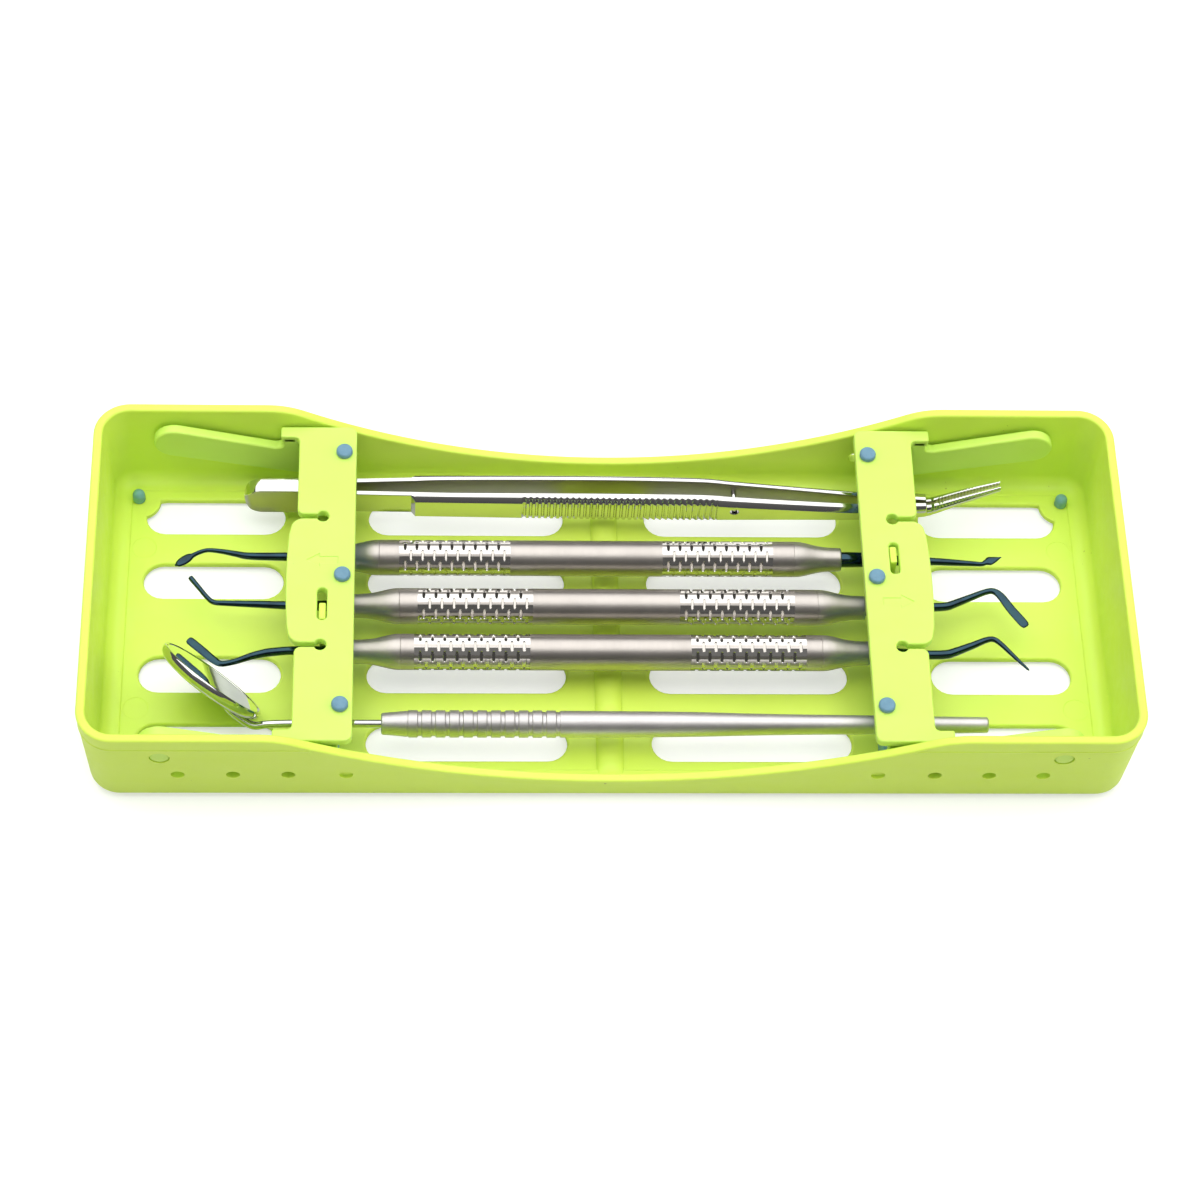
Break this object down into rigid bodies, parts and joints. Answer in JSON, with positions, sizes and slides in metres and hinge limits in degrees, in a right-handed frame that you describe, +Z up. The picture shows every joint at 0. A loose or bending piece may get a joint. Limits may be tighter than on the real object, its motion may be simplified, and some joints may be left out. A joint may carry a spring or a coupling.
{
  "type": "dental instrument cassette with hand instruments",
  "caption": "Open plastic tray with dipped long walls and two swinging hold-down gates, holding tweezers, knurled double-ended hand instruments and a mouth mirror.",
  "frame": {"origin": "middle of the tray's footprint, on the surface it stands on", "axes": "+X along the tray to the right end, +Y to the back wall (tweezers side), +Z up"},
  "size_m": [0.2032, 0.077, 0.024],
  "materials": {
    "lime_plastic": "satin moulded polypropylene, fine mould grain",
    "lime_gate": "satin moulded polypropylene",
    "blue_silicone": "matte silicone rubber",
    "teal_silicone": "matte silicone rubber",
    "satin_steel": "bead-blasted satin stainless steel, bright-cut grips",
    "polished_steel": "mirror-polished stainless steel",
    "chrome_trim": "bright chrome",
    "blue_coated_steel": "dark blue hard coating on polished steel",
    "mirror_glass": "front-surface mirror"
  },
  "bodies": {
    "root": {"tray": "lime_plastic", "rest_rail_left": "teal_silicone", "rest_rail_right": "teal_silicone", "foot_front_left": "teal_silicone", "foot_front_right": "teal_silicone", "foot_back_left": "teal_silicone", "foot_back_right": "teal_silicone", "tweezers_arm_back": "polished_steel", "tweezers_guide_pin": "polished_steel", "carver_handle": "satin_steel", "carver_cone_left": "satin_steel", "carver_cone_right": "satin_steel", "carver_tip_left": "blue_coated_steel", "carver_tip_right": "blue_coated_steel", "filler_handle": "satin_steel", "filler_cone_left": "satin_steel", "filler_cone_right": "satin_steel", "filler_tip_left": "blue_coated_steel", "filler_tip_right": "blue_coated_steel", "shaper_handle": "satin_steel", "shaper_cone_left": "satin_steel", "shaper_cone_right": "satin_steel", "shaper_tip_left": "blue_coated_steel", "shaper_tip_right": "blue_coated_steel", "mirror_handle": "satin_steel", "mirror_stem": "chrome_trim", "mirror_cup": "chrome_trim", "mirror_glass": "mirror_glass"},
    "gate_left": {"gate_left": "lime_gate", "hold_down_strip_left": "blue_silicone"},
    "gate_right": {"gate_right": "lime_gate", "hold_down_strip_right": "blue_silicone"},
    "tweezers_front": {"tweezers_arm_front": "polished_steel"}
  },
  "joints": [
    {"name": "gate_left_hinge", "type": "hinge", "parent": "root", "child": "gate_left", "pos_m": [-0.086, 0, 0.017], "axis": [0, -1, 0], "range_deg": [0, 110]},
    {"name": "gate_right_hinge", "type": "hinge", "parent": "root", "child": "gate_right", "pos_m": [0.086, 0, 0.017], "axis": [0, 1, 0], "range_deg": [0, 110]},
    {"name": "tweezers_squeeze", "type": "hinge", "parent": "root", "child": "tweezers_front", "pos_m": [-0.06, 0.02545, 0.0092], "axis": [0, 0, 1], "range_deg": [-2, 0.15], "stiffness_Nm_per_rad": 4}
  ]
}
